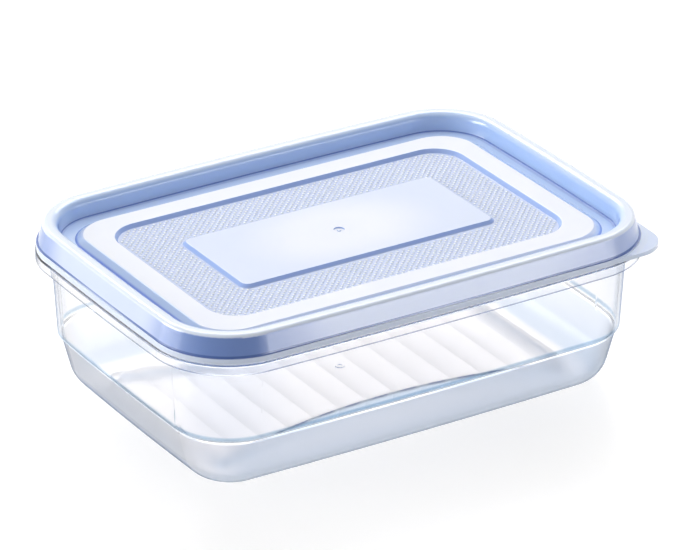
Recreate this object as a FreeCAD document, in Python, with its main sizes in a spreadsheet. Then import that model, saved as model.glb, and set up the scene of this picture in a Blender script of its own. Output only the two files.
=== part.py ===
import FreeCAD
import Part
import Sketcher
import math
import os
from FreeCAD import Vector

# Rectangular food storage box: a clear tub with a stepped wall and a ribbed
# floor, closed by a push-on lid. Millimetres, +Z up, origin on the ground
# under the middle of the tub, X along the long side.

doc = FreeCAD.newDocument("food_box")

# ---------------------------------------------------------------- sizes

SIZES = [
    # outline shared by the tub's flange and the lid's lip
    ("body_length", 195.0, "over the middle of the short sides"),
    ("body_width", 137.0, "over the middle of the long sides"),
    ("corner_radius", 29.2, "corner of the outline"),
    ("long_bow", 1.7, "outward bow of each long side"),
    ("short_bow", 1.4, "outward bow of each short side"),
    # tub
    ("tub_wall", 1.2, "wall and floor of the tub"),
    ("tub_height", 54.7, "ground to the flange's top face"),
    ("upper_inset", 5.4, "outline to the wall, just under the flange"),
    ("step_inset", 7.1, "outline to the wall, just above the step"),
    ("step_height", 22.0, "ground to the step in the wall"),
    ("step_ledge", 1.1, "how far the wall steps in"),
    ("step_drop", 0.8, "height of the sloping ledge"),
    ("lower_lean", 5.3, "inward lean of the wall below the step"),
    ("foot_radius", 11.6, "round from the wall to the ground"),
    ("floor_corner", 1.6, "corner left where the swept floor ring ends"),
    ("flange_thickness", 1.3, "flange plate"),
    ("flange_drop", 3.8, "flange top to its turned-down edge"),
    ("rim_inset", 3.65, "outline to the outside of the rim wall"),
    ("rim_height", 7.0, "rim wall above the flange"),
    # raised floor panel of the tub
    ("panel_end_gap", 25.1, "outline to the panel at the short sides"),
    ("panel_side_gap", 29.4, "outline to the panel's corners at the long sides"),
    ("panel_hollow", 12.6, "how far each long side of the panel curves in"),
    ("panel_height", 5.2, "ground to the valleys between the ribs"),
    ("rib_pitch", 11.5, "rib to rib"),
    ("rib_rise", 0.5, "crown of a rib above the valleys"),
    ("rib_bulge", 0.7, "round end of a rib, in plan"),
    ("panel_corner", 2.5, "corner of the panel"),
    ("gate_ring", 3.5, "ring left by the moulding gate"),
    ("gate_ring_height", 0.3, "ring above the rib it stands on"),
    # lid
    ("seat_gap", 0.3, "flange top to the lip's under face"),
    ("rim_gap", 0.3, "rim wall to the skirt"),
    ("seal_gap", 2.3, "rim wall to the lid's inner wall"),
    ("rim_headroom", 1.8, "rim wall's top to the roof of the channel"),
    ("lid_wall", 1.2, "sheet thickness of the lid"),
    ("lip_thickness", 2.0, "lip at the foot of the skirt"),
    ("lip_width", 0.7, "lip beyond the skirt"),
    ("lip_radius", 0.35, "round of the lip's top edge"),
    ("skirt_angle", 13.9, "degrees the skirt leans in"),
    ("inner_angle", 5.0, "degrees the inner wall leans out"),
    ("crest_radius", 1.6, "round from the skirt to the crest"),
    ("crest_inner_radius", 2.6, "round from the crest to the inner wall"),
    ("moat_height", 0.7, "lip top to the moat floor"),
    ("moat_radius", 0.8, "round where the inner wall meets the moat"),
    ("plateau_rise", 1.9, "moat floor to the plateau"),
    ("plateau_lean", 58.0, "degrees the plateau's side leans from upright"),
    ("moat_ends", 16.8, "outline to the plateau's top at the short sides"),
    ("moat_sides", 17.9, "outline to the plateau's top at the long sides"),
    ("plateau_radius", 14.0, "corner of the plateau's top"),
    ("recess_ends", 26.75, "outline to the textured floor at the short sides"),
    ("recess_sides", 27.35, "outline to the textured floor at the long sides"),
    ("recess_radius", 11.0, "corner of the textured floor"),
    ("recess_depth", 1.5, "plateau to the textured floor"),
    ("recess_lean", 38.0, "degrees the recess side leans from upright"),
    ("label_length", 105.0, "raised middle panel along X"),
    ("label_width", 45.0, "raised middle panel along Y"),
    ("label_radius", 3.8, "corner of the middle panel"),
    ("label_rise", 1.3, "textured floor to the middle panel"),
    ("label_lean", 45.0, "degrees the panel's side leans from upright"),
    ("edge_round", 0.5, "round of the top edges of plateau, recess and panel"),
    ("gate_dimple", 4.0, "dimple round the lid's gate"),
    ("gate_depth", 0.5, "depth of that dimple"),
    ("gate_nub", 1.5, "nub in the dimple"),
    ("gate_nub_height", 0.3, "height of that nub"),
    ("tab_radius", 12.0, "corner of the lifting tab"),
    ("tab_thickness", 1.5, "plate of the lifting tab"),
    ("tab_root", 1.2, "how far the tab runs into the lip"),
]

sheet = doc.addObject("Spreadsheet::Sheet", "Sizes")
for row, (alias, number, note) in enumerate(SIZES, start=1):
    sheet.set("A%d" % row, alias)
    sheet.set("B%d" % row, str(number))
    sheet.setAlias("B%d" % row, alias)
    sheet.set("C%d" % row, note)
doc.recompute()


def named(text):
    """Turn the size names in a formula into references to the sheet."""
    for alias in sorted((name for name, _, _ in SIZES), key=len, reverse=True):
        text = text.replace("#" + alias, "Sizes." + alias)
    return text


def value(formula):
    """Number that a formula of size names gives."""
    return float(sheet.evalExpression(named(formula)))


# Levels above the ground, built up from the sizes.
FLANGE_TOP = "#tub_height"
FLANGE_UNDER = "(#tub_height - #flange_thickness)"
LIP_UNDER = "(#tub_height + #seat_gap)"
LIP_TOP = "(#tub_height + #seat_gap + #lip_thickness)"
MOAT_TOP = "(%s + #moat_height)" % LIP_TOP
MOAT_UNDER = "(%s - #lid_wall)" % MOAT_TOP
PLATEAU_TOP = "(%s + #plateau_rise)" % MOAT_TOP
RECESS_TOP = "(%s - #recess_depth)" % PLATEAU_TOP
RECESS_UNDER = "(%s - #lid_wall)" % RECESS_TOP
LABEL_TOP = "(%s + #label_rise)" % RECESS_TOP
RIM_TOP = "(#tub_height + #rim_height)"
CREST_UNDER = "(%s + #rim_headroom)" % RIM_TOP
CREST_TOP = "(%s + #lid_wall)" % CREST_UNDER

# Half sizes of the outline and the radii of its bowed sides.
HALF_LENGTH = "(#body_length / 2)"
HALF_WIDTH = "(#body_width / 2)"
LONG_SIDE_RADIUS = "((%s^2 + #long_bow^2) / (2 * #long_bow))" % HALF_LENGTH
SHORT_SIDE_RADIUS = "((%s^2 + #short_bow^2) / (2 * #short_bow))" % HALF_WIDTH


def skirt_face(level):
    """Inset of the skirt's inside, which clears the rim wall's top edge."""
    return ("(#rim_inset - #rim_gap + tan(#skirt_angle) * (%s - %s))"
            % (level, RIM_TOP))


def inner_face(level):
    """Inset of the inner wall's side that faces the rim wall."""
    return ("(#rim_inset + #tub_wall + #seal_gap - tan(#inner_angle) * (%s - %s))"
            % (level, RIM_TOP))


def under_side(lean):
    """How far the lid's under side is set in from its top at a sloping edge."""
    return "(#lid_wall * (1 - sin(%s)) / cos(%s))" % (lean, lean)


# Insets from the outline.
SKIRT_FOOT = "(%s - #lid_wall)" % skirt_face(LIP_TOP)
LIP_EDGE = "(%s - #lip_width)" % SKIRT_FOOT
FLOOR_RING = "(#corner_radius - #floor_corner)"

# Sizes in plan that follow the outline.
PLATEAU_LENGTH = "(#body_length - 2 * #moat_ends)"
PLATEAU_WIDTH = "(#body_width - 2 * #moat_sides)"
RECESS_LENGTH = "(#body_length - 2 * #recess_ends)"
RECESS_WIDTH = "(#body_width - 2 * #recess_sides)"
LABEL_SLOPE = "(#label_rise * tan(#label_lean))"
PANEL_END = "(%s - #panel_end_gap)" % HALF_LENGTH
PANEL_CORNER = "(%s - #panel_side_gap)" % HALF_WIDTH
PANEL_WAIST = "(%s - #panel_hollow)" % PANEL_CORNER

# ------------------------------------------------------- sketch helpers

ORIGIN = (-1, 1)
X_AXIS = -1
Y_AXIS = -2
START, END, CENTRE = 1, 2, 3
UP = Vector(0, 0, 1)


def new_sketch(body, name, role, height="0"):
    """Sketch on one of the body's own origin planes, raised by height."""
    plane = [item for item in body.Origin.OriginFeatures if item.Role == role][0]
    sketch = body.newObject("Sketcher::SketchObject", name)
    sketch.AttachmentSupport = (plane, [""])
    sketch.MapMode = "FlatFace"
    if height != "0":
        sketch.setExpression("AttachmentOffset.Base.z", named(height))
    return sketch


def tie(sketch, kind, *where, formula):
    """Dimension whose number follows a formula of the sheet's sizes."""
    index = sketch.addConstraint(Sketcher.Constraint(kind, *where, value(formula)))
    sketch.setExpression("Constraints[%d]" % index, named(formula))


def pin(sketch, element, point, x, y):
    """Fix one point of an element at x, y from the sketch's origin."""
    for kind, formula, axis in (("DistanceX", x, Y_AXIS), ("DistanceY", y, X_AXIS)):
        if formula == "0":
            sketch.addConstraint(
                Sketcher.Constraint("PointOnObject", element, point, axis))
        elif value(formula) > 0:
            tie(sketch, kind, *ORIGIN, element, point, formula=formula)
        else:
            tie(sketch, kind, element, point, *ORIGIN, formula="-(%s)" % formula)


def arc(centre_x, centre_y, radius, start, end):
    circle = Part.Circle(Vector(centre_x, centre_y, 0), UP, radius)
    return Part.ArcOfCircle(circle, start, end)


def arc_between(first, second, radius, side):
    """Arc from first to second that bulges to the left (side 1) or right (-1).

    Sketch arcs run anticlockwise, so the second result says which of its
    ends lies on the first point.
    """
    chord = second - first
    normal = Vector(-chord.y, chord.x, 0).normalize() * side
    reach = math.sqrt(radius ** 2 - (chord.Length / 2) ** 2)
    centre = (first + second) / 2 - normal * reach
    angles = [math.atan2(p.y - centre.y, p.x - centre.x) for p in (first, second)]
    if side > 0:
        angles.reverse()
    start, end = angles
    if end < start:
        end += 2 * math.pi
    first_end = END if side > 0 else START
    return arc(centre.x, centre.y, radius, start, end), first_end


def blend_centre(radius):
    """Centre and end angles of an arc tangent inside both bowed sides.

    The centre lies where a circle about the long side's centre meets one
    about the short side's centre, both smaller than the side by the radius.
    """
    half_length, half_width = value(HALF_LENGTH), value(HALF_WIDTH)
    long_radius, short_radius = value(LONG_SIDE_RADIUS), value(SHORT_SIDE_RADIUS)
    first = Vector(0, half_width - long_radius, 0)
    second = Vector(half_length - short_radius, 0, 0)
    r1, r2 = long_radius - radius, short_radius - radius
    line = second - first
    along = (r1 ** 2 - r2 ** 2 + line.Length ** 2) / (2 * line.Length)
    across = math.sqrt(r1 ** 2 - along ** 2)
    line.normalize()
    centre = first + line * along + Vector(line.y, -line.x, 0) * across
    short_angle = math.atan2(centre.y, centre.x - second.x)
    long_angle = math.atan2(centre.y - first.y, centre.x)
    return centre, short_angle, long_angle


def bowed_outline(sketch, inset="0"):
    """Rounded rectangle with bowed sides, moved in by inset.

    Eight tangent arcs; the +X side is split on the X axis, so that the
    outline starts there, in the plane of the swept profiles.
    """
    half_length, half_width = value(HALF_LENGTH), value(HALF_WIDTH)
    long_radius, short_radius = value(LONG_SIDE_RADIUS), value(SHORT_SIDE_RADIUS)
    radius = value("#corner_radius")
    step = value(inset)
    centre, short_angle, long_angle = blend_centre(radius)
    cx, cy = centre.x, centre.y
    sx, ly = half_length - short_radius, half_width - long_radius
    turn = math.pi
    arcs = [
        arc(sx, 0, short_radius - step, 0, short_angle),
        arc(cx, cy, radius - step, short_angle, long_angle),
        arc(0, ly, long_radius - step, long_angle, turn - long_angle),
        arc(-cx, cy, radius - step, turn - long_angle, turn - short_angle),
        arc(-sx, 0, short_radius - step, turn - short_angle, turn + short_angle),
        arc(-cx, -cy, radius - step, turn + short_angle, turn + long_angle),
        arc(0, -ly, long_radius - step, turn + long_angle, 2 * turn - long_angle),
        arc(cx, -cy, radius - step, 2 * turn - long_angle, 2 * turn - short_angle),
        arc(sx, 0, short_radius - step, -short_angle, 0),
    ]
    items = [sketch.addGeometry(item, False) for item in arcs]
    for item, following in zip(items, items[1:]):
        sketch.addConstraint(Sketcher.Constraint("Tangent", item, END, following, START))
    for item, point in ((items[0], START), (items[-1], END)):
        sketch.addConstraint(Sketcher.Constraint("PointOnObject", item, point, X_AXIS))
    corner = "#corner_radius - %s" % inset
    for item in items[1::2]:
        tie(sketch, "Radius", item, formula=corner)
    to_short = "%s - %s" % (SHORT_SIDE_RADIUS, HALF_LENGTH)
    to_long = "%s - %s" % (LONG_SIDE_RADIUS, HALF_WIDTH)
    for item, x, y in ((items[0], "-(%s)" % to_short, "0"),
                       (items[8], "-(%s)" % to_short, "0"),
                       (items[4], to_short, "0"),
                       (items[2], "0", "-(%s)" % to_long),
                       (items[6], "0", to_long)):
        pin(sketch, item, CENTRE, x, y)
        side = SHORT_SIDE_RADIUS if y == "0" else LONG_SIDE_RADIUS
        tie(sketch, "Radius", item, formula="%s - %s" % (side, inset))


def rounded_rectangle(sketch, length, width, radius):
    """Rectangle with straight sides and round corners about the origin."""
    a, b, r = value(length) / 2, value(width) / 2, value(radius)
    quarter = math.pi / 2
    corners = [(1, 1), (-1, 1), (-1, -1), (1, -1)]
    arcs = [arc(i * (a - r), j * (b - r), r, n * quarter, (n + 1) * quarter)
            for n, (i, j) in enumerate(corners)]
    items = [sketch.addGeometry(item, False) for item in arcs]
    for n, item in enumerate(items):
        tie(sketch, "Radius", item, formula=radius)
        following = (n + 1) % 4
        line = sketch.addGeometry(
            Part.LineSegment(arcs[n].EndPoint, arcs[following].StartPoint), False)
        sketch.addConstraint(Sketcher.Constraint("Tangent", item, END, line, START))
        sketch.addConstraint(
            Sketcher.Constraint("Tangent", line, END, items[following], START))
        level = n % 2 == 0
        sketch.addConstraint(Sketcher.Constraint("Horizontal" if level else "Vertical", line))
        kind = "DistanceY" if level else "DistanceX"
        reach = "(%s) / 2" % (width if level else length)
        far = (line, START)
        ends = (*ORIGIN, *far) if n in (0, 3) else (*far, *ORIGIN)
        tie(sketch, kind, *ends, formula=reach)


def chain(sketch, corners):
    """Closed run of lines and arcs through corners given as formulas.

    A corner is (x, y), (x, y, fillet) or (x, y, None, radius, side): a fillet
    rounds the corner, a radius and side turn the edge that leaves it into an
    arc. Every corner is pinned, so the sizes in the sheet drive the shape.
    """
    corners = [tuple(c) + (None,) * (5 - len(c)) for c in corners]
    points = [Vector(value(c[0]), value(c[1]), 0) for c in corners]
    count = len(corners)

    def cut_back(n):
        """How far the fillet at corner n shortens the lines beside it."""
        if corners[n][2] is None:
            return 0.0
        to_last = points[n - 1] - points[n]
        to_next = points[(n + 1) % count] - points[n]
        return value(corners[n][2]) / math.tan(to_last.getAngle(to_next) / 2)

    edges = []
    for n, (_, _, _, radius, side) in enumerate(corners):
        first, second = points[n], points[(n + 1) % count]
        if radius is None:
            direction = (second - first).normalize()
            line = Part.LineSegment(first + direction * cut_back(n),
                                    second - direction * cut_back((n + 1) % count))
            edges.append((sketch.addGeometry(line, False), START, END))
        else:
            curve, at_first = arc_between(first, second, value(radius), side)
            item = sketch.addGeometry(curve, False)
            tie(sketch, "Radius", item, formula=radius)
            edges.append((item, at_first, START + END - at_first))
    for n, (x, y, fillet, _, _) in enumerate(corners):
        last, _, last_end = edges[n - 1]
        item, item_start, _ = edges[n]
        if fillet is None:
            sketch.addConstraint(
                Sketcher.Constraint("Coincident", last, last_end, item, item_start))
            pin(sketch, item, item_start, x, y)
            continue
        round_corner(sketch, last, item, points[n - 1], points[n],
                     points[(n + 1) % count], x, y, fillet)


def round_corner(sketch, last, item, before, corner, after, x, y, fillet):
    """Tangent arc between two lines whose sharp corner is pinned at x, y."""
    radius = value(fillet)
    back, ahead = (before - corner).normalize(), (after - corner).normalize()
    half = back.getAngle(ahead) / 2
    centre = corner + (back + ahead).normalize() * (radius / math.sin(half))
    touch = [corner + way * (radius / math.tan(half)) for way in (back, ahead)]
    left_turn = (corner - before).cross(after - corner).z > 0
    if not left_turn:
        touch.reverse()
    start, end = (math.atan2(p.y - centre.y, p.x - centre.x) for p in touch)
    if end < start:
        end += 2 * math.pi
    curve = sketch.addGeometry(arc(centre.x, centre.y, radius, start, end), False)
    on_last, on_item = (START, END) if left_turn else (END, START)
    sketch.addConstraint(Sketcher.Constraint("Tangent", last, END, curve, on_last))
    sketch.addConstraint(Sketcher.Constraint("Tangent", curve, on_item, item, START))
    tie(sketch, "Radius", curve, formula=fillet)
    sharp = sketch.addGeometry(Part.Point(corner), True)
    for line in (last, item):
        sketch.addConstraint(Sketcher.Constraint("PointOnObject", sharp, START, line))
    pin(sketch, sharp, START, x, y)


def circle(sketch, diameter):
    item = sketch.addGeometry(Part.Circle(Vector(0, 0, 0), UP, value(diameter) / 2), False)
    sketch.addConstraint(Sketcher.Constraint("Coincident", item, CENTRE, *ORIGIN))
    tie(sketch, "Diameter", item, formula=diameter)


# ------------------------------------------------------ feature helpers


def pad(body, name, sketch, height, downward=False, widening="0"):
    """Extrusion; widening is the angle at which its sides spread as it goes."""
    feature = body.newObject("PartDesign::Pad", name)
    feature.Profile = (sketch, [""])
    feature.setExpression("Length", named(height))
    feature.Reversed = downward
    feature.setExpression("TaperAngle", named(widening) + " * 1 deg")
    doc.recompute()
    return feature


def pocket(body, name, sketch, depth, upward=False, both_ways=False, widening="0"):
    """Cut that must take material away, or the build stops."""
    before = body.Shape.Volume
    feature = body.newObject("PartDesign::Pocket", name)
    feature.Profile = (sketch, [""])
    feature.setExpression("Length", named(depth))
    feature.Reversed = upward
    feature.Midplane = both_ways
    feature.setExpression("TaperAngle", named(widening) + " * 1 deg")
    doc.recompute()
    if not body.Shape.Volume < before - 1e-6:
        raise RuntimeError("%s cuts nothing" % name)
    return feature


def round_edges(body, name, levels, radius):
    """Fillet along every edge that lies flat at one of these levels."""
    heights = [value(level) for level in levels]
    edges = []
    for number, edge in enumerate(body.Shape.Edges, start=1):
        ends = [vertex.Z for vertex in edge.Vertexes]
        if any(all(abs(z - height) < 1e-6 for z in ends) for height in heights):
            edges.append("Edge%d" % number)
    base = body.Tip
    feature = body.newObject("PartDesign::Fillet", name)
    feature.Base = (base, edges)
    feature.setExpression("Radius", named(radius))
    doc.recompute()
    return feature


def sweep(body, name, profile, path):
    feature = body.newObject("PartDesign::AdditivePipe", name)
    feature.Profile = (profile, [""])
    feature.Spine = (path, [""])
    doc.recompute()
    return feature


def from_outline(inset):
    """Place along X that lies inset from the outline."""
    return "%s - %s" % (HALF_LENGTH, inset)


# ------------------------------------------------------------------ tub


def panel_half_width(x):
    """Half the width of the floor panel at x: a shallow hollow curve."""
    return "(%s + #panel_hollow * ((%s) / %s)^2)" % (PANEL_WAIST, x, PANEL_END)


def rib_edges():
    """Places along X of the valleys between ribs, from +X to -X.

    One rib stands in the middle, with as many on either side as fit.
    """
    each_side = int(value("(%s / #rib_pitch) - 0.5" % PANEL_END))
    halves = range(2 * each_side + 1, -2 * each_side - 2, -2)
    return ["(%d * #rib_pitch / 2)" % n for n in halves]


def ribbed_panel(tub):
    """Floor panel: waisted in plan, round-ended ribs across it."""
    end = PANEL_END
    bulge = "(((#rib_pitch / 2)^2 + #rib_bulge^2) / (2 * #rib_bulge))"
    crown = "(((#rib_pitch / 2)^2 + #rib_rise^2) / (2 * #rib_rise))"
    top = "(#panel_height + #rib_rise)"
    valleys = rib_edges()

    outline = new_sketch(tub, "panel_outline", "XY_Plane")
    corners = []
    for sign in ("", "-"):
        ends = [sign + end, "-" + end if sign == "" else end]
        inner = valleys if sign == "" else valleys[::-1]
        corners.append((ends[0], sign + panel_half_width(end), "#panel_corner"))
        for place in inner[:-1]:
            corners.append((place, sign + panel_half_width(place), None, bulge, -1))
        corners.append((inner[-1], sign + panel_half_width(inner[-1])))
        corners.append((ends[1], sign + panel_half_width(end), "#panel_corner"))
    chain(outline, corners)
    pad(tub, "panel", outline, top)

    crowns = new_sketch(tub, "rib_crowns", "XZ_Plane")
    above = "(%s + #rib_rise)" % top
    beyond = "(%s + #tub_wall)" % end
    profile = [(beyond, above), ("-" + beyond, above), ("-" + beyond, "#panel_height")]
    for place in valleys[::-1][:-1]:
        profile.append((place, "#panel_height", None, crown, 1))
    profile.append((valleys[0], "#panel_height"))
    profile.append((beyond, "#panel_height"))
    chain(crowns, profile)
    pocket(tub, "rib_tops", crowns, "2 * (%s + #tub_wall)" % PANEL_CORNER, both_ways=True)


def panel_underside(tub):
    """Hollow under the panel, so that the floor keeps the wall's thickness."""
    end = "(%s - #tub_wall)" % PANEL_END
    bend = "(%s - #panel_corner)" % end
    side = "(%s - #tub_wall)" % panel_half_width(bend)
    short = "(%s - #panel_corner)" % side
    hollow = "(#panel_hollow * (%s / %s)^2)" % (bend, PANEL_END)
    curve = "((%s^2 + %s^2) / (2 * %s))" % (bend, hollow, hollow)
    sketch = new_sketch(tub, "underside_outline", "XY_Plane")
    chain(sketch, [
        (bend, side, None, curve, 1),
        ("-" + bend, side, None, "#panel_corner", 1),
        ("-" + end, short),
        ("-" + end, "-" + short, None, "#panel_corner", 1),
        ("-" + bend, "-" + side, None, curve, 1),
        (bend, "-" + side, None, "#panel_corner", 1),
        (end, "-" + short),
        (end, short, None, "#panel_corner", 1),
    ])
    pocket(tub, "underside", sketch, "#panel_height - #tub_wall", upward=True)


def tub_profile(sketch):
    """Section of the swept wall: foot, step, wall, flange and rim."""
    wall = "#tub_wall"
    lower_inset = "(#step_inset + #step_ledge)"
    foot_inset = "(%s + #lower_lean)" % lower_inset
    inner_foot_radius = "(#foot_radius - %s)" % wall
    step_foot = "(#step_height - #step_drop)"
    rim_out = "#rim_inset"
    rim_in = "(#rim_inset + %s)" % wall
    drop_foot = "(%s - #flange_drop)" % FLANGE_TOP
    chain(sketch, [
        # outside, upwards from the ground
        (from_outline(FLOOR_RING), "0"),
        (from_outline(foot_inset), "0", "#foot_radius"),
        (from_outline(lower_inset), step_foot),
        (from_outline("#step_inset"), "#step_height"),
        (from_outline("#upper_inset"), FLANGE_UNDER),
        (from_outline(wall), FLANGE_UNDER),
        (from_outline(wall), drop_foot),
        (from_outline("0"), drop_foot),
        (from_outline("0"), FLANGE_TOP, "#tub_wall / 2"),
        (from_outline(rim_out), FLANGE_TOP),
        (from_outline(rim_out), RIM_TOP),
        (from_outline(rim_in), RIM_TOP),
        # inside, down again
        (from_outline(rim_in), FLANGE_TOP),
        (from_outline("(#upper_inset + %s)" % wall), FLANGE_UNDER),
        (from_outline("(#step_inset + %s)" % wall), "#step_height"),
        (from_outline("(%s + %s)" % (lower_inset, wall)), step_foot),
        (from_outline("(%s + %s)" % (foot_inset, wall)), wall, inner_foot_radius),
        (from_outline(FLOOR_RING), wall),
    ])


def make_tub():
    tub = doc.addObject("PartDesign::Body", "tub")
    tub.Label = "tub"
    outline = new_sketch(tub, "floor_outline", "XY_Plane")
    bowed_outline(outline, "(%s - #tub_wall)" % FLOOR_RING)
    pad(tub, "floor", outline, "#tub_wall")
    ribbed_panel(tub)
    panel_underside(tub)
    path = new_sketch(tub, "wall_path", "XY_Plane")
    bowed_outline(path)
    section = new_sketch(tub, "wall_section", "XZ_Plane")
    tub_profile(section)
    sweep(tub, "walls", section, path)
    ring = new_sketch(tub, "gate_ring_outline", "XY_Plane", "#panel_height")
    circle(ring, "#gate_ring")
    circle(ring, "#gate_ring / 2")
    pad(tub, "gate_ring", ring, "#rib_rise + #gate_ring_height")
    return tub


# ------------------------------------------------------------------ lid


def lid_profile(sketch):
    """Section of the lid's rim: lip, skirt, crest, inner wall and moat."""
    wall = "#lid_wall"
    skirt_top = "(%s - %s)" % (skirt_face(CREST_TOP), wall)
    inner_top = "(%s + %s)" % (inner_face(CREST_TOP), wall)
    inner_foot = "(%s + %s)" % (inner_face(MOAT_TOP), wall)
    moat_end = "(max(#moat_ends; #moat_sides) + 2 * %s)" % wall
    chain(sketch, [
        # top side, inwards from the lip
        (from_outline(LIP_EDGE), LIP_UNDER),
        (from_outline(LIP_EDGE), LIP_TOP, "#lip_radius"),
        (from_outline(SKIRT_FOOT), LIP_TOP),
        (from_outline(skirt_top), CREST_TOP, "#crest_radius"),
        (from_outline(inner_top), CREST_TOP, "#crest_inner_radius"),
        (from_outline(inner_foot), MOAT_TOP, "#moat_radius"),
        (from_outline(moat_end), MOAT_TOP),
        # under side, outwards again
        (from_outline(moat_end), MOAT_UNDER),
        (from_outline(inner_face(MOAT_UNDER)), MOAT_UNDER),
        (from_outline(inner_face(CREST_UNDER)), CREST_UNDER, "(#crest_inner_radius - %s)" % wall),
        (from_outline(skirt_face(CREST_UNDER)), CREST_UNDER),
        (from_outline(skirt_face(LIP_UNDER)), LIP_UNDER),
    ])


def lifting_tab(lid):
    """Tongue at the +X -Y corner: the lip's sides run on to a tighter corner.

    Both bowed sides of the lip run on from its corner arc, kept here as a
    construction arc, to the tab's own smaller arc. The root lies in the lip.
    """
    inset, root = value(LIP_EDGE), value("#tab_root")
    lip_radius, tab_radius = value("#corner_radius") - inset, value("#tab_radius")
    long_radius, short_radius = value(LONG_SIDE_RADIUS), value(SHORT_SIDE_RADIUS)
    centre, short_angle, long_angle = blend_centre(lip_radius + inset)
    tip, tip_short, tip_long = blend_centre(tab_radius + inset)
    sx, ly = value(HALF_LENGTH) - short_radius, long_radius - value(HALF_WIDTH)
    sketch = new_sketch(lid, "tab_outline", "XY_Plane", LIP_UNDER)
    arcs = [
        arc(0, ly, long_radius - inset, -long_angle, -tip_long),
        arc(tip.x, -tip.y, tab_radius, -tip_long, -tip_short),
        arc(sx, 0, short_radius - inset, -tip_short, -short_angle),
        arc(centre.x, -centre.y, lip_radius - root, -long_angle, -short_angle),
    ]
    long_side, tip_arc, short_side, root_arc = [sketch.addGeometry(a, False) for a in arcs]
    lip_arc = sketch.addGeometry(
        arc(centre.x, -centre.y, lip_radius, -long_angle, -short_angle), True)
    short_root = sketch.addGeometry(
        Part.LineSegment(arcs[2].EndPoint, arcs[3].EndPoint), False)
    long_root = sketch.addGeometry(
        Part.LineSegment(arcs[3].StartPoint, arcs[0].StartPoint), False)
    for kind, first, first_end, second, second_end in (
            ("Tangent", long_side, END, tip_arc, START),
            ("Tangent", tip_arc, END, short_side, START),
            ("Tangent", long_side, START, lip_arc, START),
            ("Tangent", short_side, END, lip_arc, END),
            ("Coincident", root_arc, CENTRE, lip_arc, CENTRE),
            ("Coincident", short_side, END, short_root, START),
            ("Perpendicular", short_root, END, root_arc, END),
            ("Perpendicular", root_arc, START, long_root, START),
            ("Coincident", long_root, END, long_side, START)):
        sketch.addConstraint(
            Sketcher.Constraint(kind, first, first_end, second, second_end))
    for item, formula in ((lip_arc, "#corner_radius - %s" % LIP_EDGE),
                          (root_arc, "#corner_radius - %s - #tab_root" % LIP_EDGE),
                          (tip_arc, "#tab_radius"),
                          (long_side, "%s - %s" % (LONG_SIDE_RADIUS, LIP_EDGE)),
                          (short_side, "%s - %s" % (SHORT_SIDE_RADIUS, LIP_EDGE))):
        tie(sketch, "Radius", item, formula=formula)
    pin(sketch, long_side, CENTRE, "0", "%s - %s" % (LONG_SIDE_RADIUS, HALF_WIDTH))
    pin(sketch, short_side, CENTRE, "-(%s - %s)" % (SHORT_SIDE_RADIUS, HALF_LENGTH), "0")
    pad(lid, "tab", sketch, "#tab_thickness")


def plateau(lid):
    """Raised middle of the lid with the textured recess and the label panel.

    Its sides slope: what is drawn at a top spreads downwards, and the basin of
    the recess spreads upwards. The under side follows one wall below.
    """
    wall = "#lid_wall"
    roof = "(%s - %s)" % (PLATEAU_TOP, wall)

    block = new_sketch(lid, "plateau_outline", "XY_Plane", PLATEAU_TOP)
    rounded_rectangle(block, PLATEAU_LENGTH, PLATEAU_WIDTH, "#plateau_radius")
    pad(lid, "plateau", block, "%s - %s" % (PLATEAU_TOP, RECESS_UNDER),
        downward=True, widening="#plateau_lean")
    hollow = new_sketch(lid, "plateau_hollow", "XY_Plane", roof)
    inset = under_side("#plateau_lean")
    rounded_rectangle(hollow, "%s - 2 * %s" % (PLATEAU_LENGTH, inset),
                      "%s - 2 * %s" % (PLATEAU_WIDTH, inset), "#plateau_radius - " + inset)
    pocket(lid, "plateau_underside", hollow, "%s - %s" % (roof, MOAT_UNDER),
           widening="#plateau_lean")

    basin = new_sketch(lid, "basin_outline", "XY_Plane", RECESS_UNDER)
    outset = under_side("#recess_lean")
    rounded_rectangle(basin, "%s + 2 * %s" % (RECESS_LENGTH, outset),
                      "%s + 2 * %s" % (RECESS_WIDTH, outset), "#recess_radius + " + outset)
    pad(lid, "basin", basin, "%s - %s" % (PLATEAU_TOP, RECESS_UNDER), widening="#recess_lean")
    recess = new_sketch(lid, "recess_outline", "XY_Plane", RECESS_TOP)
    rounded_rectangle(recess, RECESS_LENGTH, RECESS_WIDTH, "#recess_radius")
    pocket(lid, "recess", recess, "#recess_depth", upward=True, widening="#recess_lean")

    label = new_sketch(lid, "label_outline", "XY_Plane", LABEL_TOP)
    rounded_rectangle(label, "#label_length - 2 * %s" % LABEL_SLOPE,
                      "#label_width - 2 * %s" % LABEL_SLOPE, "#label_radius - " + LABEL_SLOPE)
    pad(lid, "label", label, "#label_rise", downward=True, widening="#label_lean")
    under = new_sketch(lid, "label_hollow", "XY_Plane", "(%s - %s)" % (LABEL_TOP, wall))
    inset = "(%s + %s)" % (LABEL_SLOPE, under_side("#label_lean"))
    rounded_rectangle(under, "#label_length - 2 * " + inset, "#label_width - 2 * " + inset,
                      "#label_radius - " + inset)
    pocket(lid, "label_underside", under, "#label_rise", widening="#label_lean")
    round_edges(lid, "soft_edges", (PLATEAU_TOP, LABEL_TOP), "#edge_round")


def gate_mark(lid):
    """Round dimple with a nub, where the lid was filled in its mould."""
    dimple = new_sketch(lid, "dimple_outline", "XY_Plane", LABEL_TOP)
    circle(dimple, "#gate_dimple")
    pocket(lid, "dimple", dimple, "#gate_depth")
    floor = "(%s - #gate_depth)" % LABEL_TOP
    nub = new_sketch(lid, "nub_outline", "XY_Plane", floor)
    circle(nub, "#gate_nub")
    pad(lid, "nub", nub, "#gate_nub_height")


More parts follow.
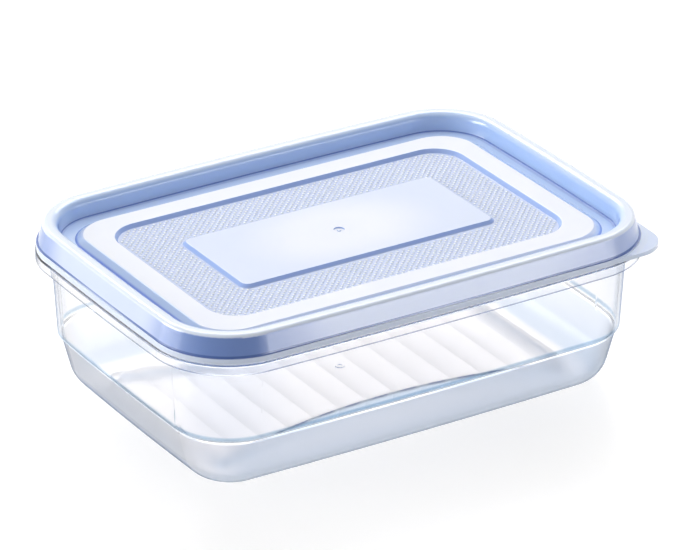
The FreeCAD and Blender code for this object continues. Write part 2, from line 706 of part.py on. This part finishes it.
def make_lid():
    lid = doc.addObject("PartDesign::Body", "lid")
    lid.Label = "lid"
    path = new_sketch(lid, "rim_path", "XY_Plane")
    bowed_outline(path)
    section = new_sketch(lid, "rim_section", "XZ_Plane")
    lid_profile(section)
    sweep(lid, "rim", section, path)
    plateau(lid)
    gate_mark(lid)
    lifting_tab(lid)
    return lid


# ---------------------------------------------------------------- write


def check(parts):
    for item in doc.Objects:
        if "Invalid" in item.State or "Error" in item.State:
            raise RuntimeError("%s failed: %s" % (item.Label, item.State))
    for part in parts:
        shape = part.Shape
        if shape.isNull() or not shape.isValid() or len(shape.Solids) != 1:
            raise RuntimeError("%s is not one valid solid" % part.Label)


parts = [make_tub(), make_lid()]
doc.recompute()
check(parts)
os.makedirs("parts", exist_ok=True)
for part in parts:
    part.Shape.exportStep("parts/%s.step" % part.Label)
    print(part.Label, "%.0f mm3" % part.Shape.Volume, part.Shape.BoundBox)
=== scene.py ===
import math

import bpy
import numpy as np
from mathutils import Matrix, Vector


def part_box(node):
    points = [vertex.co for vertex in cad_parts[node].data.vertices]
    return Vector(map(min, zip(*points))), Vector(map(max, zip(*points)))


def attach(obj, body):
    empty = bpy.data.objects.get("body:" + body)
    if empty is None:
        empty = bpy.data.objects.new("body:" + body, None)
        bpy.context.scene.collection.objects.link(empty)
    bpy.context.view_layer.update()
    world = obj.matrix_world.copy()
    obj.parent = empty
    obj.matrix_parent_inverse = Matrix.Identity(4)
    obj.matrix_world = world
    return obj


# A closed food storage box: clear tub, translucent blue lid. Metres, +Z up,
# origin on the ground under the middle, X along the long side.

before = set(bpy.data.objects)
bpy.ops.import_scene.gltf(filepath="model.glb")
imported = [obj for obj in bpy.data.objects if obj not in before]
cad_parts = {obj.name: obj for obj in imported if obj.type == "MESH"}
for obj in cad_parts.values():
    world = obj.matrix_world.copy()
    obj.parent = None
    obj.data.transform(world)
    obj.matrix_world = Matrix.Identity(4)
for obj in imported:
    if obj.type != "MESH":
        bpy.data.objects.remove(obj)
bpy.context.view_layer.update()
MM = 0.001


def mm(*sizes):
    """Sizes given in millimetres, in metres."""
    return tuple(size * MM for size in sizes)


def above(level, low, high):
    """Two levels, low and high millimetres above the one given."""
    return level + low * MM, level + high * MM


def rgb(red, green, blue):
    """Linear colour from 0 to 255 display values."""
    def linear(level):
        c = level / 255
        return c / 12.92 if c <= 0.04045 else ((c + 0.055) / 1.055) ** 2.4
    return (linear(red), linear(green), linear(blue), 1.0)


def grey(level):
    return (level, level, level, 1.0)


# Levels, as in the solids.
STEP_LEVEL = 21.6 * MM
RIB_VALLEY, RIB_PITCH = 5.2 * MM, 11.5 * MM
PANEL_TOP = mm(7.0, 8.0)
LIP_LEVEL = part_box("lid")[0].z + 2.0 * MM
MOAT_LEVEL = LIP_LEVEL + 0.7 * MM
PLATEAU_LEVEL = MOAT_LEVEL + 1.9 * MM
RECESS_LEVEL = PLATEAU_LEVEL - 1.5 * MM

# Rectangles with round corners: length, width and corner radius.
OUTLINE = mm(195.0, 137.0, 29.2)
RECESS = mm(141.5, 82.3, 11.0)
LABEL = mm(105.0, 45.0, 3.8)
SOFT_EDGE = mm(-0.2, 0.3)

# Distances in from the outline at which one part of the lid or the floor
# gives way to the next.
TAB_END = mm(-1.6, -1.0)
SKIRT_FOOT_START = mm(0.9, 1.2)
RIM_END = mm(6.0, 8.5)
MOAT_END = mm(10.5, 11.0)
SLOPE_START = mm(11.0, 11.5)
MIDDLE_START = mm(16.6, 17.4)
FLOOR_PANEL_START = mm(17.0, 19.0)
PLATEAU_SIDE_END = mm(20.5, 21.5)

# How level a surface is, from 0 for upright to 1 for flat, where looks change.
UPRIGHT, SLOPING = (0.2, 0.75), (0.72, 0.97)
SKIRT_TOP, SKIRT_UNDER = (0.25, 0.5), (-0.3, -0.1)
LEDGE, PANEL_STEEP = (0.3, 0.6), (0.4, 0.9)

# How far round a corner a point is, as Shader.cornering gives it.
CLEAR_CORNERING, FROST_CORNERING, SKIRT_CORNERING = (1.35, 1.8), (1.2, 1.6), (1.36, 1.68)

# The tub's colours. Painted light and shade: the frost's foot, top and corner, the step's band and
# line, the panel's sides and the rib ends; the edge tint is partly painted shade.
CLEAR_WALL, CLEAR_CORNER = rgb(251, 250, 250), rgb(238, 241, 247)
FROST_SHADED_FOOT, FROST_LIT_TOP = rgb(210, 220, 233), rgb(230, 235, 243)
FROST_CORNER_GLOW = rgb(252, 250, 251)
STEP_SHADE_BAND, STEP_PAINTED_SHINE = rgb(186, 206, 223), rgb(253, 253, 255)
PANEL_FLAT, PANEL_SIDE_SHADE = rgb(243, 242, 244), rgb(196, 211, 228)
RIB_END_SHADE_BLUE, CLEAR_EDGE_SHADE = rgb(110, 128, 184), rgb(160, 180, 205)

# The lid's colours, from its outline to its middle. Painted shade: the skirt's foot and corners,
# the feet of the channel and the slope, the edge-on blue and the recess floor. Painted light: the
# far walls and the dots' tops.
TAB_BLUE, LIP_BLUE, SKIRT_FOOT_SHADE_BLUE = rgb(212, 224, 252), rgb(214, 225, 248), rgb(84, 112, 176)
SKIRT_BLUE, SKIRT_CORNER_SHADE = rgb(204, 216, 248), rgb(122, 150, 206)
CREST_BLUE, GLANCING_SHADE_BLUE = rgb(225, 234, 252), rgb(116, 150, 216)
MOAT_FLOOR, MOAT_WALL, FAR_WALL_LIT_BLUE = rgb(194, 214, 252), rgb(176, 203, 249), rgb(185, 209, 255)
MOAT_FOOT_SHADE_BLUE, SLOPE_FOOT_SHADE_BLUE = rgb(92, 126, 200), rgb(120, 148, 226)
FLAT_DEEP, FLAT_PALE, LABEL_BLUE = rgb(234, 238, 254), rgb(242, 245, 255), rgb(216, 225, 250)
PLATEAU_SIDE, RECESS_SIDE = rgb(166, 190, 242), rgb(160, 186, 240)
RECESS_FLOOR_SHADE, DOT_FOOT, DOT_TOP_HIGHLIGHT = rgb(200, 211, 240), rgb(206, 217, 244), rgb(243, 248, 255)

# ------------------------------------------------------------- shader maths


class Socket:
    """A shader value; arithmetic on it adds Math nodes."""

    def __init__(self, shader, link):
        self.shader, self.link = shader, link

    def maths(self, operation, *values):
        return self.shader.add("ShaderNodeMath", values, operation=operation)

    def __add__(self, other):
        return self.maths("ADD", self, other)

    def __radd__(self, other):
        return self.maths("ADD", other, self)

    def __sub__(self, other):
        return self.maths("SUBTRACT", self, other)

    def __rsub__(self, other):
        return self.maths("SUBTRACT", other, self)

    def __mul__(self, other):
        return self.maths("MULTIPLY", self, other)

    def __rmul__(self, other):
        return self.maths("MULTIPLY", other, self)

    def __truediv__(self, other):
        return self.maths("DIVIDE", self, other)

    def __abs__(self):
        return self.maths("ABSOLUTE", self)

    def at_least(self, other):
        return self.maths("MAXIMUM", self, other)

    def root(self):
        return self.maths("SQRT", self)

    def fraction(self):
        return self.maths("FRACT", self)


class Shader:
    """Node tree of one material or of the world."""

    def __init__(self, owner):
        owner.use_nodes = True
        self.tree = owner.node_tree
        self.tree.nodes.clear()

    def add(self, kind, inputs=(), output=0, **settings):
        """New node: its settings first, then the values or links of its sockets."""
        node = self.tree.nodes.new(kind)
        for key, setting in settings.items():
            setattr(node, key, setting)
        pairs = inputs.items() if isinstance(inputs, dict) else enumerate(inputs)
        for key, given in pairs:
            if isinstance(given, Socket):
                self.tree.links.new(given.link, node.inputs[key])
            else:
                node.inputs[key].default_value = given
        return Socket(self, node.outputs[output])

    def ease(self, value, low, high):
        """0 below low, 1 above high, a smooth rise between."""
        return self.add("ShaderNodeMapRange", {"Value": value, "From Min": low, "From Max": high},
                        interpolation_type="SMOOTHSTEP")

    def fade(self, value, low, high):
        """1 below low, 0 above high, a smooth fall between."""
        return 1 - self.ease(value, low, high)

    def blend(self, factor, first, second):
        """Colour mix from first to second."""
        return self.add("ShaderNodeMix", {0: factor, 6: first, 7: second}, output=2,
                        data_type="RGBA")

    def layers(self, colour, *covers):
        """The colour under each (mask, colour) pair in turn."""
        for mask, cover in covers:
            colour = self.blend(mask, colour, cover)
        return colour

    def place(self):
        return self.add("ShaderNodeTexCoord", output="Object")

    def normal(self):
        return self.add("ShaderNodeNewGeometry", output="Normal")

    def glancing(self):
        """0 where the surface faces the eye, 1 where it is seen edge on."""
        return self.add("ShaderNodeLayerWeight", {"Blend": 0.5}, output="Facing")

    def split(self, vector):
        node = self.tree.nodes.new("ShaderNodeSeparateXYZ")
        self.tree.links.new(vector.link, node.inputs[0])
        return [Socket(self, out) for out in node.outputs]

    def noise(self, place, scale, detail=2.0):
        return self.add("ShaderNodeTexNoise", {"Vector": place, "Scale": scale, "Detail": detail})

    def seen_by(self, *kinds):
        """1 for rays of the named kinds, 0 for the others."""
        path = self.tree.nodes.new("ShaderNodeLightPath")
        rays = [Socket(self, path.outputs["Is %s Ray" % kind]) for kind in kinds]
        total = rays[0]
        for ray in rays[1:]:
            total = total.at_least(ray)
        return total

    def inset(self, x, y, length, width, radius):
        """How far a point lies inside a rectangle with round corners.

        It is the radius less the distance past the inner rectangle, which is
        smaller by the radius on each side, and stays at the radius further in.
        """
        past_x = (abs(x) - (length / 2 - radius)).at_least(0.0)
        past_y = (abs(y) - (width / 2 - radius)).at_least(0.0)
        return radius - (past_x * past_x + past_y * past_y).root()

    def cornering(self, x, y):
        """Shares of the half length and half width, summed: 1 at mid side, up to 2 at a corner."""
        return (abs(x) / OUTLINE[0] + abs(y) / OUTLINE[1]) * 2

    def grain(self, height, strength, depth):
        """Normal of a surface with this fine relief."""
        return self.add("ShaderNodeBump", {"Strength": strength, "Distance": depth,
                                           "Height": height})

    def opened(self, surface, share, tint=grey(1.0)):
        """Surface mixed with a see-through one of this tint, by share."""
        clear = self.add("ShaderNodeBsdfTransparent", [tint])
        return self.add("ShaderNodeMixShader", [share, surface, clear])

    def light_passes(self, surface, share):
        """Surface that lets this share of the light through to what is behind it."""
        return self.opened(surface, self.seen_by("Shadow", "Diffuse") * share)

    def end(self, shader, kind="ShaderNodeOutputMaterial"):
        output = self.tree.nodes.new(kind)
        self.tree.links.new(shader.link, output.inputs["Surface"])


def finish_on(piece, material):
    """The material on every slot of the piece."""
    if not piece.data.materials:
        piece.data.materials.append(material)
    for number in range(len(piece.data.materials)):
        piece.data.materials[number] = material


# ---------------------------------------------------------------- materials

PLASTIC_IOR = 1.49
CLEAR_ROUGHNESS, FROST_ROUGHNESS = 0.03, 0.25
LID_ROUGHNESS, CLOUD_ROUGHNESS, COAT_ROUGHNESS = 0.21, 0.04, 0.15
RIM_GLOSS, MIDDLE_GLOSS_LOSS, DOT_GLOSS = 0.7, 0.55, 0.3
# How much the step's painted highlight line glows.
PAINTED_SHINE_GLOW = 0.16
TUB_LIGHT_SHARE, LID_LIGHT_SHARE = 0.9, 0.6
# Noise scales, in cells to the metre.
FROST_GRAIN, LID_GRAIN, LID_CLOUD = 2500.0, 900.0, 45.0


def clear_plastic():
    """Tub: clear and glossy above the step, finely frosted below it."""
    material = bpy.data.materials.new("clear_plastic")
    shader = Shader(material)
    place = shader.place()
    x, y, z = shader.split(place)
    cornering = shader.cornering(x, y)
    level = abs(shader.split(shader.normal())[2])

    # Frost rises from a foot of painted shade to a top of painted light, with a painted glow
    # palest at the left end and its corners.
    frost = shader.fade(z, *above(STEP_LEVEL, -0.2, 0.2))
    left_end = shader.fade(x, *mm(-86.0, -70.0))
    pale = (shader.ease(cornering, *FROST_CORNERING) * 0.4 + 0.5) * left_end \
        * shader.ease(z, *mm(3.0, 9.0))
    frost_with_painted_light = shader.layers(FROST_SHADED_FOOT, (shader.ease(z, *mm(3.0, 19.0)), FROST_LIT_TOP),
                          (pale, FROST_CORNER_GLOW))
    clear = shader.blend(shader.ease(cornering, *CLEAR_CORNERING), CLEAR_WALL, CLEAR_CORNER)

    # The step: a painted highlight line under its ledge, glossy and glowing a little, and a
    # blue-grey band of painted shade over it.
    band = shader.ease(z, *above(STEP_LEVEL, 0.2, 0.4)) \
        * shader.fade(z, *above(STEP_LEVEL, 1.5, 2.1))
    painted_shine = frost * shader.ease(z, *above(STEP_LEVEL, -1.6, -1.3))
    ledge = shader.ease(level, *LEDGE) * shader.ease(z, *mm(20.9, 21.1)) \
        * shader.fade(z, *mm(22.1, 22.4))

    # The raised floor panel, with painted shade on its narrow sides and on the ends of its ribs.
    panel = shader.fade(z, *PANEL_TOP) \
        * shader.ease(shader.inset(x, y, *OUTLINE), *FLOOR_PANEL_START)
    shaded_panel_side = panel * shader.fade(level, *PANEL_STEEP)
    from_crown = abs((x / RIB_PITCH).fraction() - 0.5)
    shaded_rib_end = shaded_panel_side * shader.ease(z, *above(RIB_VALLEY, -0.3, -0.1)) \
        * shader.ease(from_crown, 0.12, 0.3)

    colour = shader.layers(clear, (frost, frost_with_painted_light), (band, STEP_SHADE_BAND), (painted_shine, STEP_PAINTED_SHINE),
                           (panel - shaded_panel_side, PANEL_FLAT), (shaded_panel_side, PANEL_SIDE_SHADE),
                           (shaded_rib_end, RIB_END_SHADE_BLUE))
    # The painted highlight line under the step also glows a little.
    surface = shader.add("ShaderNodeBsdfPrincipled", {
        "Base Color": colour, "Roughness": CLEAR_ROUGHNESS + (frost - painted_shine) * FROST_ROUGHNESS,
        "Normal": shader.grain(shader.noise(place, FROST_GRAIN, 1.0) * frost, 0.15, 0.02 * MM),
        "IOR": PLASTIC_IOR, "Transmission Weight": 1.0, "Emission Strength": 1.0,
        "Emission Color": shader.blend(painted_shine, grey(0.0), grey(PAINTED_SHINE_GLOW))})
    # Seen edge on, the wall turns partly see-through with a blue-grey tint: partly the longer way
    # through the plastic, partly painted shade.
    surface = shader.opened(surface, shader.ease(shader.glancing(), 0.62, 1.0) * 0.8, CLEAR_EDGE_SHADE)
    # Painted light: the ledge's faces are mostly see-through, so they show pale.
    surface = shader.opened(surface, ledge * 0.9)
    shader.end(shader.light_passes(surface, TUB_LIGHT_SHARE))
    return material


def blue_skin(shader, place, cloud, colour, gloss):
    """Ends the shader with a satin, faintly grained, slightly see-through plastic."""
    surface = shader.add("ShaderNodeBsdfPrincipled", {
        "Base Color": colour, "Roughness": LID_ROUGHNESS + cloud * CLOUD_ROUGHNESS,
        "Normal": shader.grain(shader.noise(place, LID_GRAIN, 1.0), 0.05, 0.05 * MM),
        "IOR": PLASTIC_IOR,
        "Subsurface Weight": 0.4, "Subsurface Radius": (1.0, 1.1, 1.4),
        "Subsurface Scale": 2.0 * MM, "Coat Weight": gloss, "Coat Roughness": COAT_ROUGHNESS})
    shader.end(shader.light_passes(surface, LID_LIGHT_SHARE))


def rim_colour(shader, x, y, z, level, from_edge):
    """Tab, lip, skirt, crest and channel, the channel a deeper blue; painted shade in its creases,
    along the skirt's foot and round the skirt's corners, and painted light on the far walls.
    """
    rim = shader.fade(from_edge, *RIM_END)
    upright = shader.fade(abs(level), *UPRIGHT)
    # Painted light: the far upright walls paler.
    far_wall_light = upright * shader.ease(y, *mm(30.0, 55.0))
    above_moat = z - MOAT_LEVEL
    # Painted shade: dark lines in the creases at the channel's foot and at the slope's foot.
    moat_foot_shade = shader.fade(abs(above_moat - 0.2 * MM), *mm(0.1, 0.25)) \
        * shader.fade(from_edge, *MOAT_END)
    slope_foot_shade = shader.ease(from_edge, *SLOPE_START) * shader.ease(above_moat, *mm(0.02, 0.1)) \
        * shader.fade(above_moat, *mm(0.2, 0.8))
    skirt = rim * shader.fade(level, *SKIRT_TOP) * shader.ease(level, *SKIRT_UNDER)
    # Painted shade: the skirt darker round its corners, less so at the right end.
    corner = shader.ease(shader.cornering(x, y), *SKIRT_CORNERING) \
        * (1 - 0.6 * shader.ease(x, *mm(0.0, 60.0)))
    # Painted shade: a dark line along the skirt's foot, where it meets the lip.
    skirt_foot_shade = shader.fade(abs(z - LIP_LEVEL - 0.25 * MM), *mm(0.25, 0.5)) \
        * shader.ease(from_edge, *SKIRT_FOOT_START) * rim
    lip = shader.fade(z, *above(LIP_LEVEL, -0.3, 0.05)) * rim
    tab = shader.fade(from_edge, *TAB_END)
    return shader.layers(MOAT_FLOOR, (upright, MOAT_WALL), (far_wall_light, FAR_WALL_LIT_BLUE),
                         (moat_foot_shade, MOAT_FOOT_SHADE_BLUE), (slope_foot_shade, SLOPE_FOOT_SHADE_BLUE),
                         (rim, CREST_BLUE), (skirt, SKIRT_BLUE), (skirt * corner, SKIRT_CORNER_SHADE),
                         (lip, LIP_BLUE), (tab, TAB_BLUE), (skirt_foot_shade, SKIRT_FOOT_SHADE_BLUE))


def middle_colour(shader, x, y, z, level, from_edge, cloud):
    """Plateau, recess and label: pale flats, palest mid label with a painted reflection, deeper
    sloping sides, and a recess floor of painted shade between the dots.
    """
    label = shader.ease(shader.inset(x, y, *LABEL), *SOFT_EDGE)
    # Painted reflection: the label palest round its middle.
    painted_reflection = shader.fade((x * x + y * y * 2.0).root(), *mm(12.0, 44.0))
    slope = shader.fade(abs(level), *SLOPING)
    outer_side = slope * shader.fade(from_edge, *PLATEAU_SIDE_END)
    # Painted shade: the recess floor between the dots deeper than the flats.
    recess = shader.ease(shader.inset(x, y, *RECESS), *SOFT_EDGE) \
        * shader.fade(z, *above(RECESS_LEVEL, 0.05, 0.3))
    return shader.layers(FLAT_DEEP, (cloud, FLAT_PALE),
                         (label * (0.95 - painted_reflection * 0.85), LABEL_BLUE),
                         (outer_side * 0.9, PLATEAU_SIDE),
                         ((slope - outer_side) * 0.9, RECESS_SIDE), (recess, RECESS_FLOOR_SHADE))


def blue_plastic():
    """Lid: translucent light blue with a satin skin, glossier on its rim."""
    material = bpy.data.materials.new("blue_plastic")
    shader = Shader(material)
    place = shader.place()
    x, y, z = shader.split(place)
    cloud = shader.noise(place, LID_CLOUD)
    level = shader.split(shader.normal())[2]
    from_edge = shader.inset(x, y, *OUTLINE)
    middle = shader.ease(from_edge, *MIDDLE_START)
    # The edge-on blue is painted shade where the lid is seen edge on.
    colour = shader.layers(rim_colour(shader, x, y, z, level, from_edge),
                           (middle, middle_colour(shader, x, y, z, level, from_edge, cloud)),
                           (shader.ease(shader.glancing(), 0.78, 1.0), GLANCING_SHADE_BLUE))
    blue_skin(shader, place, cloud, colour, RIM_GLOSS - middle * MIDDLE_GLOSS_LOSS)
    return material


def blue_dots():
    """The recess's dots: the lid's plastic, paler towards their tops as a painted highlight."""
    material = bpy.data.materials.new("blue_plastic_dots")
    shader = Shader(material)
    place = shader.place()
    height = shader.ease(shader.split(place)[2], *above(RECESS_LEVEL, 0.02, 0.26))
    # Painted highlight: each dot paler towards its top.
    colour = shader.blend(height, DOT_FOOT, DOT_TOP_HIGHLIGHT)
    blue_skin(shader, place, shader.noise(place, LID_CLOUD), colour, DOT_GLOSS)
    return material


# -------------------------------------------------------------------- dots


def inside_rounded(x, y, length, width, radius):
    """True where x, y lie in a rectangle with round corners.

    A point is inside when its distance past the inner rectangle, which is
    smaller by the radius on each side, stays under the radius.
    """
    past_x = np.maximum(np.abs(x) - (length / 2 - radius), 0)
    past_y = np.maximum(np.abs(y) - (width / 2 - radius), 0)
    return past_x ** 2 + past_y ** 2 < radius ** 2


def dots(pitch, foot, height):
    """Small domes on a diagonal lattice in the ring round the label panel.

    At a share t of its height a dome's radius is foot * sqrt(1 - t * t). It has
    six sides, a ring at its foot, one part way up, and a point on top.
    """
    half = int(RECESS[0] / pitch) + 2
    i, j = np.meshgrid(np.arange(-half, half + 1), np.arange(-half, half + 1))
    x = ((i + j) * pitch / math.sqrt(2)).ravel()
    y = ((i - j) * pitch / math.sqrt(2)).ravel()
    edge, gap = mm(0.8, 0.7)
    length, width, radius = RECESS
    keep = inside_rounded(x, y, length - 2 * edge, width - 2 * edge, radius - edge)
    length, width, radius = LABEL
    keep &= ~inside_rounded(x, y, length + 2 * gap, width + 2 * gap, radius + gap)
    x, y = x[keep], y[keep]

    sides = 6
    angle = np.arange(sides) * 2 * math.pi / sides
    rings = np.array([0.0, 0.6])
    reach = foot * np.sqrt(1 - rings ** 2)
    ring_x = (reach[:, None] * np.cos(angle)).ravel()
    ring_y = (reach[:, None] * np.sin(angle)).ravel()
    ring_z = np.repeat(rings * height, sides)
    dome = np.column_stack([np.append(ring_x, 0), np.append(ring_y, 0),
                            np.append(ring_z, height)])
    points = dome[None] + np.column_stack([x, y, np.full(len(x), RECESS_LEVEL)])[:, None]
    n = np.arange(sides)
    following = (n + 1) % sides
    quads = np.column_stack([n, following, following + sides, n + sides])
    tops = np.column_stack([n + sides, following + sides, np.full(sides, 2 * sides)])
    start = np.arange(len(x))[:, None, None] * len(dome)
    faces = [(start + quads[None]).reshape(-1, 4), (start + tops[None]).reshape(-1, 3)]
    return points.reshape(-1, 3), faces


def mesh_piece(name, points, faces, smooth=True):
    """Object from points and lists of equal-sided faces."""
    mesh = bpy.data.meshes.new(name)
    mesh.vertices.add(len(points))
    mesh.vertices.foreach_set("co", np.asarray(points, np.float32).ravel())
    corners = np.concatenate([f.ravel() for f in faces])
    sizes = np.concatenate([np.full(len(f), f.shape[1]) for f in faces])
    mesh.loops.add(len(corners))
    mesh.loops.foreach_set("vertex_index", corners.astype(np.int32))
    mesh.polygons.add(len(sizes))
    mesh.polygons.foreach_set("loop_start", np.append(0, np.cumsum(sizes)[:-1]).astype(np.int32))
    mesh.polygons.foreach_set("use_smooth", np.full(len(sizes), smooth))
    mesh.update(calc_edges=True)
    mesh.validate()
    piece = bpy.data.objects.new(name, mesh)
    bpy.context.scene.collection.objects.link(piece)
    return piece


# ------------------------------------------------------------------ pieces

DOT_PITCH, DOT_FOOT_RADIUS, DOT_HEIGHT = mm(1.81, 0.66, 0.3)

finish_on(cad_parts["tub"], clear_plastic())
finish_on(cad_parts["lid"], blue_plastic())

texture = mesh_piece("lid_dots", *dots(DOT_PITCH, DOT_FOOT_RADIUS, DOT_HEIGHT))
finish_on(texture, blue_dots())
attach(texture, "root")

# ------------------------------------------------------------- studio, camera

FLOOR_REACH, FLOOR_LEVEL = 6.0, -0.2 * MM
FLOOR_TONE, FLOOR_TONE_THROUGH = (0.53, 0.52, 0.505, 1.0), grey(0.14)
# The floor's extra glow under the box is painted light.
FLOOR_GLOW, GLOW_THROUGH, UNDER_BOX_PAINTED_LIGHT, GLOW_MOST = 0.55, 0.37, 0.16, 1.2


def floor_finish():
    """White floor that keeps the box's shadow, a little brighter seen through the box, and
    brighter still under the box, where painted light lifts that shadow.
    """
    material = bpy.data.materials.new("floor_white")
    shader = Shader(material)
    x, y, z = shader.split(shader.place())
    lift = shader.seen_by("Camera", "Glossy", "Transmission")
    through = shader.seen_by("Transmission")
    # Painted light: the floor under the box glows brighter when seen through the box.
    painted_light_under_box = shader.ease(shader.inset(x, y, *OUTLINE), *mm(-5.0, 15.0))
    glow = FLOOR_GLOW * lift + through * (GLOW_THROUGH + UNDER_BOX_PAINTED_LIGHT * painted_light_under_box)
    shader.end(shader.add("ShaderNodeBsdfPrincipled", {
        "Base Color": shader.blend(through, FLOOR_TONE, FLOOR_TONE_THROUGH), "Roughness": 0.35,
        "Emission Color": shader.blend(glow / GLOW_MOST, grey(0.0), grey(GLOW_MOST)),
        "Emission Strength": 1.0}))
    return material


floor = mesh_piece("floor", [(across * FLOOR_REACH, along * FLOOR_REACH, FLOOR_LEVEL)
                             for across, along in ((-1, -1), (1, -1), (1, 1), (-1, 1))],
                   [np.array([[0, 1, 2, 3]])], smooth=False)
finish_on(floor, floor_finish())

NEAR_SIDE = (-0.53, -0.85, 0.0)
DARK_TINT = rgb(190, 210, 245)
WORLD_LIGHT, WORLD_SHOWN, WORLD_LEAST = 0.48, 1.0, 0.03
DARKENING, NEAR_SHADE = 0.6, 0.2


def studio_world():
    """Soft light from all round, brighter in reflections.

    Reflections see a dark room toward the near side and in a band half way up,
    and the near side gives the box less light.
    """
    world = bpy.data.worlds.new("studio")
    sky = Shader(world)
    direction = sky.add("ShaderNodeTexCoord", output="Generated")
    height = sky.split(direction)[2]
    toward = sky.add("ShaderNodeVectorMath", [direction, NEAR_SIDE], output=1,
                     operation="DOT_PRODUCT")
    dark_room = sky.ease(toward, 0.60, 0.80) * sky.fade(height, 0.3, 0.5)
    band = sky.ease(height, 0.12, 0.3) * sky.fade(height, 0.6, 0.8) \
        * sky.ease(toward, -0.75, -0.4)
    dark = (dark_room + band * 0.8) * sky.seen_by("Glossy")
    plain = sky.seen_by("Camera", "Glossy", "Transmission")
    shade = sky.ease(toward, 0.2, 0.9) * (1 - plain)
    strength = (WORLD_LIGHT + (WORLD_SHOWN - WORLD_LIGHT) * plain - DARKENING * dark
                - NEAR_SHADE * shade).at_least(WORLD_LEAST)
    sky.end(sky.add("ShaderNodeBackground", [sky.blend(dark, grey(1.0), DARK_TINT), strength]),
            "ShaderNodeOutputWorld")
    return world


LAMP_TARGET = Vector((0, 0, 0.05))


def softbox(name, place, width, height, power, colour=(1.0, 1.0, 1.0)):
    """Rectangular lamp that faces the box."""
    light = bpy.data.lights.new(name, "AREA")
    light.color = colour
    light.shape, light.size, light.size_y, light.energy = "RECTANGLE", width, height, power
    lamp = bpy.data.objects.new(name, light)
    lamp.location = place
    lamp.rotation_euler = (Vector(place) - LAMP_TARGET).to_track_quat("Z", "Y").to_euler()
    bpy.context.scene.collection.objects.link(lamp)


bpy.context.scene.world = studio_world()
softbox("top_softbox", (0.5, 0.8, 1.15), 1.4, 0.9, 14.0, (1.0, 1.0, 1.03))
softbox("left_softbox", (-1.2, 0.55, 0.35), 0.8, 0.6, 13.0)
softbox("right_softbox", (0.75, -1.15, 0.11), 0.9, 0.2, 4.0)

# Camera: azimuth, elevation and roll in degrees, distance and shifts in metres.
AZIMUTH, ELEVATION, ROLL = -31.93, 25.73, 0.11
DISTANCE, ASIDE, ABOVE = 1.69039, 0.003841, -0.013973
AIM_LEVEL = 57.0 * MM
# Focal length in widths of the frame, and the sensor's width in millimetres.
FOCAL_WIDTHS, SENSOR_WIDTH = 4790.3 / 700, 36.0

a, e, r = (math.radians(v) for v in (AZIMUTH, ELEVATION, ROLL))
back = Vector((math.sin(a) * math.cos(e), -math.cos(a) * math.cos(e), math.sin(e)))
right = Vector((math.cos(a), math.sin(a), 0))
up = back.cross(right)
right, up = (right * math.cos(r) + up * math.sin(r), up * math.cos(r) - right * math.sin(r))
lens = bpy.data.cameras.new("camera")
lens.sensor_width = SENSOR_WIDTH
lens.lens = FOCAL_WIDTHS * SENSOR_WIDTH
lens.clip_start, lens.clip_end = 0.01, 50.0
camera = bpy.data.objects.new("camera", lens)
spot = back * DISTANCE + right * ASIDE + up * ABOVE + Vector((0, 0, AIM_LEVEL))
turn = Matrix((right, up, back)).transposed().to_4x4()
camera.matrix_world = Matrix.Translation(spot) @ turn
bpy.context.scene.collection.objects.link(camera)
bpy.context.scene.camera = camera
bpy.context.scene.view_settings.view_transform = "Standard"
